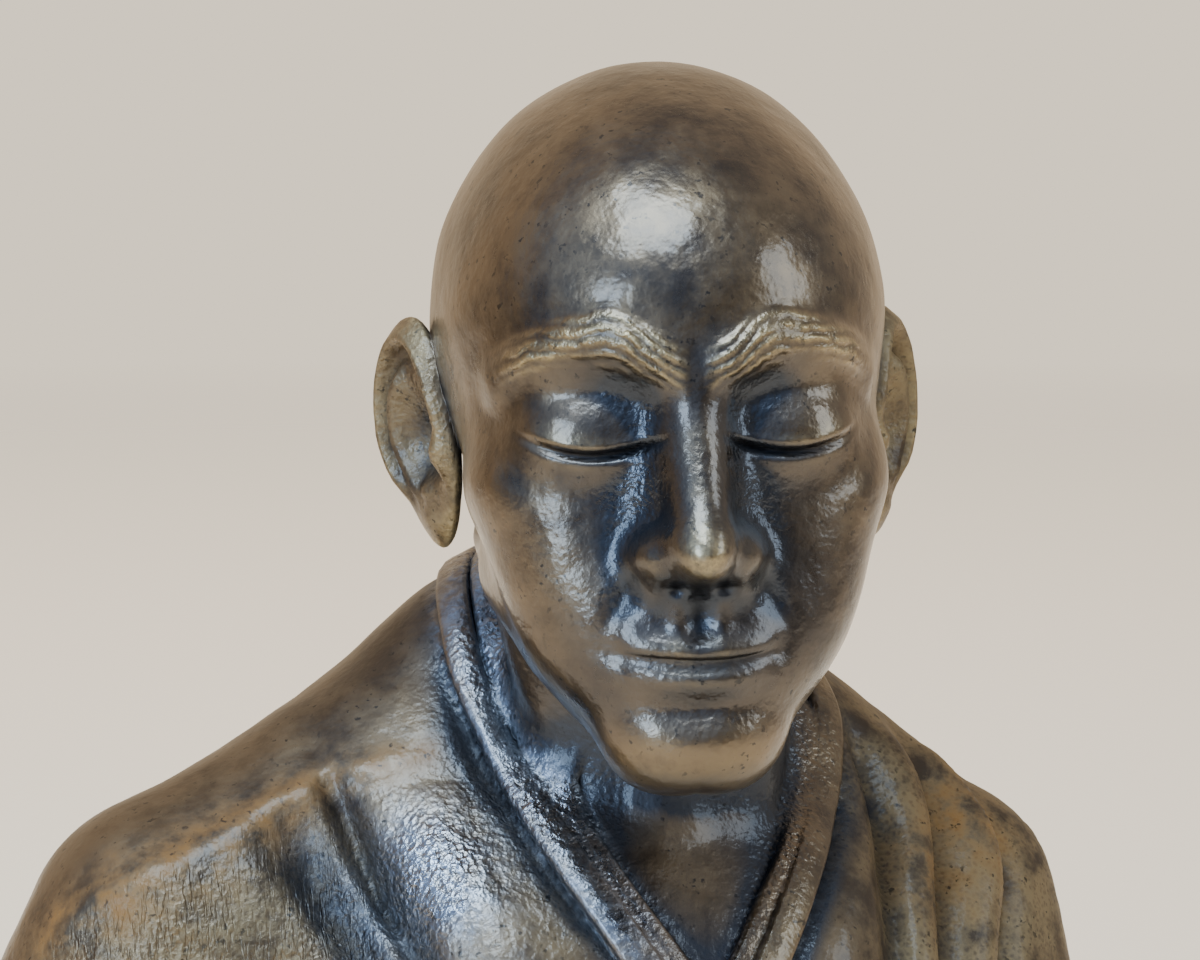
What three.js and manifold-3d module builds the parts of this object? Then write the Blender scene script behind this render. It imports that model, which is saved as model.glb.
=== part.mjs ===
// Bust of a monk, cast in bronze: shaven head, long ears, robe with crossed collars, cut flat below.
// Millimetres, +Z up. The chest faces -Y and the monk's left shoulder is on the +X side.
// The origin lies on the flat underside, below the head.
import * as THREE from 'three';
import { mergeVertices } from 'three/addons/utils/BufferGeometryUtils.js';
import Module from 'manifold-3d';

// Driving dimensions
const HEAD_HEIGHT = 67; // chin to crown
const EYE_LEVEL = 91.2; // height of the eyes above the underside
const HEAD_FORWARD = 10; // the head leans out over the chest
const HEAD_YAW = -9; // degrees, the head looks a little to the monk's right
const HEAD_ROLL = -1; // degrees, the crown tips to the monk's right
const EAR_HALF_WIDTH = 6.6;
const EAR_HALF_HEIGHT = 12.2;
const RIGHT_EAR_LEAN = 0.2; // how far the top of an ear leans out, per unit of height
const LEFT_EAR_LEAN = 0.1;
const COLLAR_THICKNESS = 2.6;

// Fineness of the surfaces
const HEAD_COLUMNS = 50;
const HEAD_ROWS = 38;
const EAR_COLUMNS = 16;
const EAR_ROWS = 5;
const ROBE_COLUMNS = 76;
const ROBE_ROWS = 27;
const COLLAR_SIDES = 6;
const COLLAR_STEPS = 2;
const FINEST_LINE = 1.1; // half width of the lines cut in the face

const BRONZE = new THREE.MeshStandardMaterial({ color: 0x5a4632, roughness: 0.36, metalness: 0.9 });

const { sin, cos, sqrt, hypot, max, min, abs, exp, sign, PI } = Math;
const TAU = 2 * PI;
const vec = (x, y, z) => new THREE.Vector3(x, y, z);
const radians = THREE.MathUtils.degToRad;

// Signed distances: negative inside a form, positive outside
const ball = (centre, radii) => (x, y, z) => {
  const px = (x - centre[0]) / radii[0];
  const py = (y - centre[1]) / radii[1];
  const pz = (z - centre[2]) / radii[2];
  const near = hypot(px, py, pz) + 1e-6;
  return (near * (near - 1)) / (hypot(px / radii[0], py / radii[1], pz / radii[2]) + 1e-6);
};

const rod = (start, end, startRadius, endRadius) => {
  const [ax, ay, az] = end.map((value, i) => value - start[i]);
  const length = ax * ax + ay * ay + az * az;
  return (x, y, z) => {
    const px = x - start[0];
    const py = y - start[1];
    const pz = z - start[2];
    const t = min(max((px * ax + py * ay + pz * az) / length, 0), 1);
    return hypot(px - t * ax, py - t * ay, pz - t * az) - startRadius - (endRadius - startRadius) * t;
  };
};

const strand = (points, radii) => {
  const rods = points.slice(1).map((point, i) => rod(points[i], point, radii[i], radii[i + 1]));
  return (x, y, z) => min(...rods.map((one) => one(x, y, z)));
};

// A strand along an arch, its radius changing evenly from one end to the other
const arch = (start, middle, end, startRadius, endRadius, steps = 6) => {
  const curve = new THREE.QuadraticBezierCurve3(vec(...start), vec(...middle), vec(...end));
  const radii = Array.from({ length: steps + 1 }, (_, i) => startRadius + ((endRadius - startRadius) * i) / steps);
  return strand(curve.getPoints(steps).map((point) => point.toArray()), radii);
};

// The same form on both sides of the middle plane
const pair = (form) => (x, y, z) => form(abs(x), y, z);

function softMin(a, b, soft) {
  const overlap = max(soft - abs(a - b), 0) / soft;
  return min(a, b) - (overlap * overlap * soft) / 4;
}

// Forms melt into one another over the width soft; a carved form is taken away instead
const add = (form, soft) => ({ form, soft, side: 1 });
const carve = (form, soft) => ({ form, soft, side: -1 });

const sculpt = (first, ...steps) => (x, y, z) =>
  steps.reduce((d, { form, soft, side }) => side * softMin(side * d, form(x, y, z), soft), first(x, y, z));

// The head in its own frame: eyes at z = 0, crown at 35, chin at -35, the face towards -y
const SCULPTED_HEAD_HEIGHT = 70;
const skull = sculpt(
  ball([0, 3.5, 9], [23.2, 29, 26]),
  add(ball([0, -9, 10], [18.6, 18.2, 16.5]), 6),
  add(ball([0, -7.5, -7], [19.2, 18.6, 22]), 6),
);

const jaw = [
  add(pair(rod([13.8, 0, -17], [3.5, -20, -29.5], 4.5, 5)), 6),
  add(ball([0, -22.8, -30], [6.8, 5.8, 5]), 6),
  add(ball([0, -9, -23.5], [12.5, 16, 7]), 4),
];

const cheeks = [
  add(pair(ball([13.2, -14.6, -6.8], [6.4, 7, 5])), 7),
  add(pair(ball([10.4, -17.6, -15.8], [6.4, 6.4, 8.2])), 6),
];

const neck = sculpt(
  rod([0, 7.5, -10], [0, 23, -58], 14, 15.5),
  add(pair(rod([15.5, 7, -14], [3.5, 7.5, -58], 3.2, 3)), 5),
  add(ball([0, 3.4, -42], [3.4, 3, 5.5]), 4),
);

const brows = [
  add(pair(arch([1, -25, 4.6], [9, -26.2, 9.4], [16.6, -16.8, 4], 2.3, 1)), 4),
  carve(pair(ball([9.5, -29.6, 0.6], [6.8, 5, 4.6])), 4.5),
];

const EYE = [9.4, -19.5, -0.8];
const closedEyes = pair(ball(EYE, [6.4, 6, 5]));

const nose = [
  add(rod([0, -22.5, 3], [0, -25.6, -10.4], 2.8, 4.2), 3.4),
  add(rod([0, -24.4, 3.8], [0, -30.6, -9.4], 2.3, 2.7), 3),
  add(ball([0, -28.6, -11.3], [3.5, 6, 3.3]), 2),
  add(pair(ball([3.8, -26, -12.2], [2.6, 4.4, 2.6])), 2.2),
  carve(pair(ball([2.3, -29.2, -15.1], [1.3, 2, 1])), 0.9),
];

const muzzle = ball([0, -20, -21], [11.6, 7.6, 8.2]);

const headMass = sculpt(skull, ...jaw, ...cheeks, add(neck, 5), ...brows, add(closedEyes, 3), ...nose, add(muzzle, 6));

const band = (value, centre, width) => exp(-(((value - centre) / width) ** 2));

// Relief of the face: lines and edges of the closed lids, lips, and the hollows round the mouth
function faceRelief(x, y, z) {
  const side = abs(x);
  const front = min(max((-y - 10) / 8, 0), 1);
  const bow = (side - EYE[0]) ** 2;
  const lashes = -2.6 + 0.04 * bow;
  const lids =
    0.15 * band(z, lashes + 0.4 + FINEST_LINE, 0.2 + FINEST_LINE) -
    0.85 * band(z, lashes, FINEST_LINE) -
    0.15 * band(z, 3.3 - 0.05 * bow, 0.9);
  const across = max(1 - (side / 7.6) ** 2, 0);
  const lipLine = -22 + 0.012 * side ** 2 - 0.2 * band(side, 0, 2);
  const lips =
    across * (0.7 * band(z, lipLine + 1.2, 1.2) + 0.95 * band(z, lipLine - 1.6, 1.5)) -
    0.8 * sqrt(across) * band(z, lipLine, FINEST_LINE);
  const corner = -0.4 * band(side, 8, 1.4) * band(z, lipLine, 1.4);
  const underNose = (0.3 * band(side, 2.1, 0.9) - 0.45 * band(side, 0, 1.1)) * band(z, -18, 2);
  const underLip = -0.6 * band(z, -26.6, 1.6) * band(side, 0, 5.5);
  const besideMouth = -0.45 * band(side, -1 - 0.5 * z, 1.4) * band(z, -16.5, 3.5);
  return front * (lids * exp(-((bow / 30) ** 2)) + lips + corner + underNose + underLip + besideMouth);
}

const headForm = (x, y, z) => headMass(x, y, z) - faceRelief(x, y, z);

// Rings of the head's surface: share of the rows, fall and lean of the rays in degrees, start y and z
const HEAD_RINGS = [
  [0.0, 0, 24, 2, 6], // crown
  [0.18, 50, 14, -6, 6], // forehead
  [0.37, 88, 0, -14, 1], // eyes
  [0.57, 98, -8, -14, -5], // nose
  [0.74, 108, -14, -11, -12], // mouth
  [0.86, 118, -18, -7, -17], // chin
  [0.93, 118, -20, 5, -27], // throat
  [1.0, 92, -18, 21, -52], // root of the neck
];
const NECK_ROOT = vec(0, 24, -60);
const FACE_DENSITY = 0.5; // how much closer the columns lie on the face than at the back

// The robe's body: chest, bent back, and the sloping shoulders and upper arms
const robeForm = sculpt(
  ball([-2, 3.5, 12], [45, 27, 42]),
  add(ball([-3, 16, 26], [43, 25, 40]), 8),
  add(strand([[-4, 19, 62], [-24, 13, 47], [-46, 9, 36], [-55.5, 5, 14], [-61, 3, -16]], [12, 13, 15, 17, 19]), 9),
  add(strand([[4, 19, 60], [21, 15, 46.3], [34.4, 13, 32.8], [40, 9, 6.5], [42.6, 8, -20]], [12, 13, 16, 16.5, 17]), 9),
  add(ball([-8, 17, 60], [14, 10, 12]), 6),
);

// Folds of the robe: height (below zero a groove), half width, and points that the fold runs through
const FOLDS = [
  // panel over the left shoulder and the fan of folds beside it
  [1.0, 3.6, [24.2, 4.4, 55.2], [23.2, 0, 50.5], [21.4, -8.8, 42.4], [17.8, -14.8, 36], [13, -21, 22], [9, -24, 2]],
  [-2.3, 2.1, [25.2, 6, 55.5], [25.9, 2.8, 52.4], [26.4, -2.5, 46.1], [25.1, -8.4, 40.2], [21, -17, 22], [18, -22, 2]],
  [1.1, 2.6, [28.5, 8, 55], [30.4, 2, 49.5], [30, -5, 41.5], [27, -13, 28], [25, -19, 2]],
  [-2.0, 2.2, [31, 12, 54], [34.5, 4.9, 48.1], [33.7, -1.6, 41.9], [31.6, -8.6, 33.4], [29.5, -13.5, 18], [29, -16, 0]],
  [1.1, 2.8, [35, 12, 51], [38.5, 5, 44.5], [38, -1, 38.5], [35.5, -7.5, 28], [34, -11, 4]],
  [-2.0, 2.2, [38, 12, 47.5], [42, 3.5, 41.4], [41.6, -0.4, 36.8], [39.5, -4.9, 30], [38.5, -9, 14], [38, -10, 0]],
  [0.9, 3.0, [42, 15, 46], [47.5, 8, 38], [48.5, 3, 27], [47, -1, 4]],
  // right shoulder: the polished ridge, two deep valleys below it and the swell beside the collar
  [0.6, 2.2, [-21.8, -0.6, 55.9], [-31.8, 0.3, 53.9], [-40, -0.7, 49.9], [-48.6, -2.1, 46], [-57.2, 1, 39.8]],
  [-3.0, 2.2, [-31.7, 1, 55], [-29.8, -3.4, 49.2], [-27.2, -7.2, 43.8], [-24.8, -12.4, 38.5], [-20, -18, 24], [-15, -22, 4]],
  [1.2, 4.6, [-21.6, -2.3, 53.5], [-21.6, -6.8, 47.4], [-19.6, -11.2, 43.3], [-14, -18, 28], [-8, -22, 10]],
  [-2.3, 2.3, [-37, 0, 52], [-35, -3.3, 47.4], [-32.5, -6, 42.9], [-29.8, -9.8, 38], [-25.5, -16, 24], [-21, -20, 4]],
  [1.2, 3.4, [-43, -4, 42], [-39, -9, 28], [-34, -13.5, 10], [-31, -16, -4]],
  [-1.5, 3.0, [-48, -3, 36], [-45, -8, 22], [-41, -11, 6], [-39, -12, -6]],
  // soft folds across the back
  [-1.7, 4.2, [-26, 36, 50], [-14, 43, 34], [-2, 44, 16], [4, 43, -4]],
  [1.3, 4.6, [-18, 38, 56], [-5, 44, 38], [8, 44, 18], [15, 42, -4]],
  [-1.6, 4.2, [26, 34, 48], [20, 41, 34], [19, 43, 16], [24, 41, -4]],
  [-1.5, 4.2, [-44, 24, 40], [-38, 32, 26], [-33, 36, 10], [-31, 37, -4]],
];
const FOLD_FADE = 0.22; // share of a fold's length over which it rises from nothing
const FOLD_STEPS = 12;

// Collars, from the foot of the side that lies below, round the nape, to the foot of the side on top
const OUTER_COLLAR = {
  points: [
    [2.6, -21.2, 27.2], [0.6, -20.3, 30.4], [-5.1, -16.9, 39.4], [-10.2, -10.2, 47.6],
    [-14.3, -1.1, 56.4], [-16.4, 7.1, 65.6], [-12.5, 19, 71], [-3, 24, 73], [7, 23, 71], [16, 16, 65],
    [21.5, 7, 58], [20.5, 0, 52], [17.2, -7, 47], [12.4, -13.5, 41], [6.5, -19, 33], [0, -22, 22],
    [-6, -24, 10], [-12, -24, -6],
  ],
  width: 3.6,
  lift: -0.2,
  overlap: 1.5,
};
const INNER_COLLAR = {
  points: [
    [3.4, -20, 31], [0.5, -18.5, 35], [-4.6, -14.6, 42.6], [-8, -9.2, 48.6],
    [-10.6, -2, 56], [-12.8, 6, 63.8], [-10, 17, 70], [-2, 21.5, 72], [6, 20.5, 70], [13.5, 14, 64.5],
    [18.4, 5.5, 57.4], [17.6, -1, 51.6], [14.2, -8.4, 46], [9.4, -14.4, 40.6], [4, -19, 33.5], [-2, -22, 24],
    [-8, -23, 12], [-13, -23, 0],
  ],
  width: 3.2,
  lift: -0.5,
  overlap: 0.8,
};

// Where a ray that starts inside a form leaves it
function leave(form, start, way) {
  const LEAST_STEP = 0.3;
  const FARTHEST = 110;
  const depth = (r) => form(start.x + way.x * r, start.y + way.y * r, start.z + way.z * r);
  let inner = 0;
  let outer = 0;
  for (let d = depth(0); d < 0 && outer < FARTHEST; d = depth(outer)) {
    inner = outer;
    outer += max(-0.8 * d, LEAST_STEP);
  }
  for (let i = 0; i < 12; i++) {
    const middle = (inner + outer) / 2;
    if (depth(middle) < 0) inner = middle;
    else outer = middle;
  }
  return start.clone().addScaledVector(way, inner);
}

function outward(form, point) {
  const STEP = 0.05;
  const slope = (x, y, z) => form(point.x + x, point.y + y, point.z + z) - form(point.x - x, point.y - y, point.z - z);
  return vec(slope(STEP, 0, 0), slope(0, STEP, 0), slope(0, 0, STEP)).normalize();
}

// Draws a point onto the surface of a form
function settle(form, point) {
  const settled = point.clone();
  for (let i = 0; i < 5; i++) {
    settled.addScaledVector(outward(form, settled), -form(settled.x, settled.y, settled.z));
  }
  return settled;
}

// Value of a table's column at a share of its rows
function readTable(table, share, column) {
  const next = min(max(table.findIndex((row) => row[0] >= share), 1), table.length - 1);
  const [low, high] = [table[next - 1], table[next]];
  return THREE.MathUtils.mapLinear(share, low[0], high[0], low[column], high[column]);
}

// A closed skin over rings of equal length, with a point at each end; each four-sided cell is
// split along its shorter diagonal
function closedSkin(rings, top, end) {
  const columns = rings[0].length;
  const points = [...rings.flat(), top, end];
  const topIndex = points.length - 2;
  const endIndex = points.length - 1;
  const faces = [];
  rings.forEach((_, i) => {
    for (let j = 0; j < columns; j++) {
      const a = i * columns + j;
      const b = i * columns + ((j + 1) % columns);
      const c = a + columns;
      const d = b + columns;
      if (i === 0) faces.push(topIndex, a, b);
      if (i === rings.length - 1) faces.push(endIndex, b, a);
      else if (points[a].distanceTo(points[d]) < points[b].distanceTo(points[c])) faces.push(a, c, d, a, d, b);
      else faces.push(a, c, b, b, c, d);
    }
  });
  const geometry = new THREE.BufferGeometry().setFromPoints(points);
  geometry.setIndex(faces);
  return geometry;
}

function headSkin() {
  const rings = [];
  for (let i = 1; i <= HEAD_ROWS; i++) {
    const share = i / HEAD_ROWS;
    const fall = radians(readTable(HEAD_RINGS, share, 1));
    const lean = radians(readTable(HEAD_RINGS, share, 2));
    const start = vec(0, readTable(HEAD_RINGS, share, 3), readTable(HEAD_RINGS, share, 4));
    const ring = [];
    for (let j = 0; j < HEAD_COLUMNS; j++) {
      const turn = (TAU * j) / HEAD_COLUMNS;
      const round = turn - FACE_DENSITY * sin(turn);
      const way = vec(sin(fall) * sin(round), -sin(fall) * cos(round), cos(fall));
      way.applyAxisAngle(vec(-1, 0, 0), lean);
      ring.push(leave(headForm, start, way));
    }
    rings.push(ring);
  }
  const crownLean = radians(HEAD_RINGS[0][2]);
  const crown = leave(headForm, vec(0, 2, 6), vec(0, sin(crownLean), cos(crownLean)));
  return closedSkin(rings, crown, NECK_ROOT);
}

const mound = (a, b, centreA, centreB, radiusA, radiusB) =>
  exp(-(((a - centreA) / radiusA) ** 2) - ((b - centreB) / radiusB) ** 2);

// 1 where an angle in degrees lies between two others, falling off softly past them
function arcShare(angle, start, end) {
  const SOFT = 4.7;
  const away = abs(((angle - (start + end) / 2 + 540) % 360) - 180) - (end - start) / 2;
  return 1 / (1 + exp(away / SOFT));
}

// Relief of the ear's outer side: rim, inner ridge, groove, bowl, flap before the opening and lobe
function earRelief(share, angle, a, b) {
  const degrees = (angle * 180) / PI;
  return (
    1.7 * band(share, 0.86, 0.11) * arcShare(degrees, -35, 172) +
    1.3 * band(share, 0.5, 0.12) * arcShare(degrees, -68, 75) -
    0.9 * band(share, 0.7, 0.08) * arcShare(degrees, -30, 120) -
    2.6 * mound(a, b, -0.9, -0.6, 2.6, 3.9) +
    1.0 * mound(a, b, -2.2, 1.6, 2.2, 0.9) +
    1.9 * mound(a, b, -4.9, -1.6, 1.3, 2.2) +
    1.2 * mound(a, b, -0.9, -5.6, 1.6, 1.2) +
    0.9 * mound(a, b, -0.6, -9, 2.6, 2.2)
  );
}

// One ear as a curled plate with relief, in the head's frame; side is -1 for the right ear
function earSkin(side) {
  const SPLAY = radians(20);
  const across = vec(side * sin(SPLAY), cos(SPLAY), 0);
  const lean = side < 0 ? RIGHT_EAR_LEAN : LEFT_EAR_LEAN;
  const up = vec(side * lean, 0.16, 1);
  up.addScaledVector(across, -up.dot(across)).normalize();
  const out = across.clone().cross(up).multiplyScalar(side);
  const root = vec(side * 23, 6, -2.6);
  const place = (a, b, c) =>
    root.clone().addScaledVector(across, a).addScaledVector(up, b).addScaledVector(out, c);
  const front = [];
  const back = [];
  for (let i = 1; i <= EAR_ROWS; i++) {
    const share = sin((PI / 2) * (i / EAR_ROWS));
    const edge = sqrt(max(1 - share ** 5, 0));
    const frontRing = [];
    const backRing = [];
    for (let j = 0; j < EAR_COLUMNS; j++) {
      const angle = (TAU * j) / EAR_COLUMNS;
      const narrow = 1 - 0.34 * max(-sin(angle), 0) ** 1.5;
      const a = EAR_HALF_WIDTH * share * cos(angle) * narrow;
      const b = EAR_HALF_HEIGHT * share * sin(angle);
      const curl = a > -3 ? 0.022 * (a + 3) ** 2 : 0;
      frontRing.push(place(a, b, 0.5 + edge * (1.1 + earRelief(share, angle, a, b)) + curl));
      backRing.push(place(a, b, 0.5 - edge * 1.5 + curl));
    }
    front.push(frontRing);
    if (i < EAR_ROWS) back.unshift(backRing);
  }
  const rings = [...front, ...back];
  if (side < 0) rings.forEach((ring) => ring.reverse());
  return closedSkin(rings, place(0, 0, 1.8 + earRelief(0, 0, 0, 0)), place(0, 0, -0.8));
}

const throughPoints = (points) => new THREE.CatmullRomCurve3(points.map((point) => vec(...point)), false, 'catmullrom');

const foldLines = FOLDS.map(([height, halfWidth, ...points]) => ({
  height,
  halfWidth,
  line: throughPoints(points).getPoints(FOLD_STEPS).map((point) => settle(robeForm, point)),
}));

// How far the folds lift the robe at a point of its surface
function foldHeight(point) {
  const nearest = vec(0, 0, 0);
  let total = 0;
  for (const { height, halfWidth, line } of foldLines) {
    let distance = Infinity;
    let share = 0;
    line.slice(1).forEach((end, i) => {
      const span = new THREE.Line3(line[i], end);
      const t = span.closestPointToPointParameter(point, true);
      const away = span.at(t, nearest).distanceTo(point);
      if (away < distance) {
        distance = away;
        share = (i + t) / (line.length - 1);
      }
    });
    total += height * exp(-((distance / halfWidth) ** 2)) * min(share / FOLD_FADE, 1) ** 0.7;
  }
  return total;
}

// The rays that find the robe's surface start on a flat-sided ring inside it
const CORE = { x: -4, y: 12, z: 24, halfLength: 30, radius: 6, rise: 12, frontSpacing: 0.55 };

function coreRing(columns) {
  const straight = 2 * CORE.halfLength;
  const bend = PI * CORE.radius * 3;
  const total = 2 * (straight + bend);
  return Array.from({ length: columns }, (_, j) => {
    const side = j < columns / 2 ? 1 : -1;
    const fromFront = (side * 2 * j) / columns + (1 - side);
    const share = fromFront * (CORE.frontSpacing + (1 - CORE.frontSpacing) * fromFront ** 3);
    const along = ((side * share + 2) * (total / 2) + straight / 2) % total;
    const second = along >= straight + bend;
    const part = second ? along - straight - bend : along;
    const flip = second ? -1 : 1;
    const angle = part < straight ? -PI / 2 : -PI / 2 + (PI * (part - straight)) / bend;
    const slide = part < straight ? part - CORE.halfLength : CORE.halfLength;
    const way = vec(flip * cos(angle), flip * sin(angle), 0);
    return { way, place: vec(flip * slide + CORE.radius * way.x, CORE.radius * way.y, 0) };
  });
}

function robeSkin() {
  const DOME_SHARE = 0.75;
  const ring = coreRing(ROBE_COLUMNS);
  const domeRows = Math.round(ROBE_ROWS * DOME_SHARE);
  const wallRows = ROBE_ROWS - domeRows;
  const middle = vec(CORE.x, CORE.y, 0);
  const rings = [];
  for (let i = 1; i <= ROBE_ROWS; i++) {
    const angle = (PI / 2) * min(i / domeRows, 1);
    const drop = max(i - domeRows, 0) / wallRows;
    const height = CORE.z * (1 - drop) + CORE.rise * cos(angle);
    rings.push(
      ring.map(({ way, place }) => {
        const start = place.clone().multiplyScalar(sin(angle)).add(middle).setZ(height);
        const ray = way.clone().multiplyScalar(sin(angle)).setZ(cos(angle));
        const surface = leave(robeForm, start, ray);
        return surface.addScaledVector(ray, foldHeight(surface));
      }),
    );
  }
  const top = leave(robeForm, vec(CORE.x, CORE.y, CORE.z + CORE.rise), vec(0, 0, 1));
  return closedSkin(rings, top, middle);
}

// A flat band with rounded edges that lies on the robe, as two lengths that meet at the nape
function collarSkins({ points, width, lift, overlap }) {
  const SQUARENESS = 0.45;
  const NAPE = 0.48; // share of the band's length at the back of the neck
  const UNDER_SIDE = 0.6; // past this share of its length the band lies over its own other end
  const line = throughPoints(points).getPoints((points.length - 1) * COLLAR_STEPS);
  const spine = line.map((point) => settle(robeForm, point));
  const rings = spine.map((point, i) => {
    const share = i / (spine.length - 1);
    const ahead = spine[min(i + 1, spine.length - 1)];
    const along = ahead.clone().sub(spine[max(i - 1, 0)]).normalize();
    const out = outward(robeForm, point);
    out.addScaledVector(along, -out.dot(along)).normalize();
    const across = along.clone().cross(out);
    const rise = lift + overlap * THREE.MathUtils.smoothstep(share, UNDER_SIDE, 1);
    return Array.from({ length: COLLAR_SIDES }, (_, j) => {
      const angle = (TAU * (j + 0.5)) / COLLAR_SIDES;
      const u = (sign(cos(angle)) * abs(cos(angle)) ** SQUARENESS * width) / 2;
      const v = (sign(sin(angle)) * abs(sin(angle)) ** SQUARENESS * COLLAR_THICKNESS) / 2;
      return point.clone().addScaledVector(across, u).addScaledVector(out, v + rise);
    });
  });
  const middle = (ring) => ring.reduce((sum, point) => sum.add(point), vec(0, 0, 0)).divideScalar(ring.length);
  const nape = Math.round(NAPE * rings.length);
  return [rings.slice(0, nape + 1), rings.slice(nape)].map((length) =>
    closedSkin(length, middle(length[0]), middle(length[length.length - 1])),
  );
}

// Solids for joining and cutting
const wasm = await Module();
wasm.setup();

function toSolid(geometry) {
  geometry.deleteAttribute('normal');
  geometry.deleteAttribute('uv');
  const merged = mergeVertices(geometry);
  const vertProperties = new Float32Array(merged.attributes.position.array);
  const triVerts = new Uint32Array(merged.index.array);
  return new wasm.Manifold(new wasm.Mesh({ numProp: 3, vertProperties, triVerts }));
}

function toGeometry(solid) {
  const { vertProperties, triVerts } = solid.getMesh();
  const geometry = new THREE.BufferGeometry();
  geometry.setAttribute('position', new THREE.BufferAttribute(new Float32Array(vertProperties), 3));
  geometry.setIndex(new THREE.BufferAttribute(new Uint32Array(triVerts), 1));
  geometry.computeVertexNormals();
  return geometry;
}

function buildBust() {
  const headPlace = new THREE.Matrix4().compose(
    vec(0, -HEAD_FORWARD, EYE_LEVEL),
    new THREE.Quaternion().setFromEuler(new THREE.Euler(0, radians(HEAD_ROLL), radians(HEAD_YAW), 'ZXY')),
    vec(1, 1, 1).multiplyScalar(HEAD_HEIGHT / SCULPTED_HEAD_HEIGHT),
  );
  const headPieces = [headSkin(), earSkin(-1), earSkin(1)].map((piece) => piece.applyMatrix4(headPlace));
  const robePieces = [robeSkin(), ...collarSkins(INNER_COLLAR), ...collarSkins(OUTER_COLLAR)];
  const joined = [...robePieces, ...headPieces].map(toSolid).reduce((whole, solid) => whole.add(solid));
  const FLOOR_SIZE = 300;
  const floor = new THREE.BoxGeometry(FLOOR_SIZE, FLOOR_SIZE, FLOOR_SIZE).translate(0, 0, -FLOOR_SIZE / 2);
  const bust = new THREE.Mesh(toGeometry(joined.subtract(toSolid(floor))), BRONZE);
  bust.name = 'monk_bust';
  return bust;
}

const figure = new THREE.Group();
figure.add(buildBust());

export default figure;
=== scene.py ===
"""Bronze bust of a monk: shaven head, long ears, robe with crossed collars, cut flat below.

The bust is sculpted in millimetres as distance forms, +Z up, the chest facing -Y, and its mesh is
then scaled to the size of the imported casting.
"""
import math
from types import SimpleNamespace

import bmesh
import bpy
import numpy as np
from mathutils import Matrix, Vector, noise
from mathutils.bvhtree import BVHTree


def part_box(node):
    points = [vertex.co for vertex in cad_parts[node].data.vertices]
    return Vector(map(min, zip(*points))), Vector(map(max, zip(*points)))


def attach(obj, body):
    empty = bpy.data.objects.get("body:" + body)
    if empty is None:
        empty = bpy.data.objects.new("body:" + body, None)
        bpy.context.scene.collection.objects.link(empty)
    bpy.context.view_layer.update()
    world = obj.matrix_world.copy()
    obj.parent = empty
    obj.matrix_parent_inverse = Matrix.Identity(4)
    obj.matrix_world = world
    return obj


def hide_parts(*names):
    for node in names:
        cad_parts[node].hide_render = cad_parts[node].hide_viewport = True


TAU = 2 * math.pi
NODE = "monk_bust"

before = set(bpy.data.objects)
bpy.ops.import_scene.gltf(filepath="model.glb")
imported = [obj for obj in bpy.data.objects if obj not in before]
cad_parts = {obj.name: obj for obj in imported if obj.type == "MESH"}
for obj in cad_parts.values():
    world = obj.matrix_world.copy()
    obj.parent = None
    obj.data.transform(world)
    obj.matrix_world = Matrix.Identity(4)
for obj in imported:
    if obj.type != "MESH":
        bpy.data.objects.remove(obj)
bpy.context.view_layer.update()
node_low, node_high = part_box(NODE)

# Driving dimensions, millimetres
BUST_HEIGHT = 124.69
MM = (node_high.z - node_low.z) / BUST_HEIGHT
HEAD_HEIGHT = 67.0
HEAD_CENTRE = np.array([0.0, -10.0, 91.2])
HEAD_YAW, HEAD_ROLL = math.radians(-9), math.radians(-1)
EAR_HALF_WIDTH, EAR_HALF_HEIGHT = 6.6, 12.2
RIGHT_EAR_LEAN, LEFT_EAR_LEAN = 0.2, 0.1
COLLAR_THICKNESS = 2.6

# Fineness of the surfaces
HEAD_COLUMNS, HEAD_ROWS = 220, 200
EAR_COLUMNS, EAR_ROWS = 52, 20
ROBE_COLUMNS, ROBE_ROWS = 280, 120
COLLAR_SIDES, COLLAR_STEPS = 14, 8
FINEST_LINE = 0.42

# The photograph's view: the camera looks to the left of the face and below it
VIEW_AZIMUTH, VIEW_ELEVATION = math.radians(-15), math.radians(6)
VIEW_DISTANCE = 300.0
FACE_PLACE = (0, -10, 90)
VIEW_LEFT, VIEW_DOWN = 5.9, 6.1
LENS = 91.8


# Distance forms: each takes an array of points and gives negative distances inside
def ball(centre, radii):
    centre, radii = np.array(centre, float), np.array(radii, float)

    def form(p):
        q = (p - centre) / radii
        near = np.sqrt((q * q).sum(1)) + 1e-6
        slope = np.sqrt(((q / radii) ** 2).sum(1)) + 1e-6
        return near * (near - 1) / slope
    return form


def rod(start, end, start_radius, end_radius):
    start = np.array(start, float)
    along = np.array(end, float) - start

    def form(p):
        t = np.clip((p - start) @ along / (along @ along), 0, 1)
        away = p - start - t[:, None] * along
        return np.sqrt((away * away).sum(1)) - start_radius - (end_radius - start_radius) * t
    return form


def strand(points, radii):
    """Rods end to end through points, with a radius at each point."""
    rods = [rod(*sizes) for sizes in zip(points, points[1:], radii, radii[1:])]
    return lambda p: np.min([one(p) for one in rods], axis=0)


def arch(start, middle, end, start_radius, end_radius, steps=6):
    """A strand along an arch, its radius changing evenly."""
    t = np.linspace(0, 1, steps + 1)[:, None]
    start, middle, end = (np.array(point, float) for point in (start, middle, end))
    points = (1 - t) ** 2 * start + 2 * t * (1 - t) * middle + t * t * end
    return strand(points, np.linspace(start_radius, end_radius, steps + 1))


def pair(form):
    """The same form on both sides of the middle plane."""
    return lambda p: form(np.column_stack((np.abs(p[:, 0]), p[:, 1:])))


def soft_min(a, b, soft):
    overlap = np.maximum(soft - np.abs(a - b), 0) / soft
    return np.minimum(a, b) - overlap * overlap * soft / 4


def add(form, soft):
    return form, soft, 1


def carve(form, soft):
    return form, soft, -1


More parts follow.
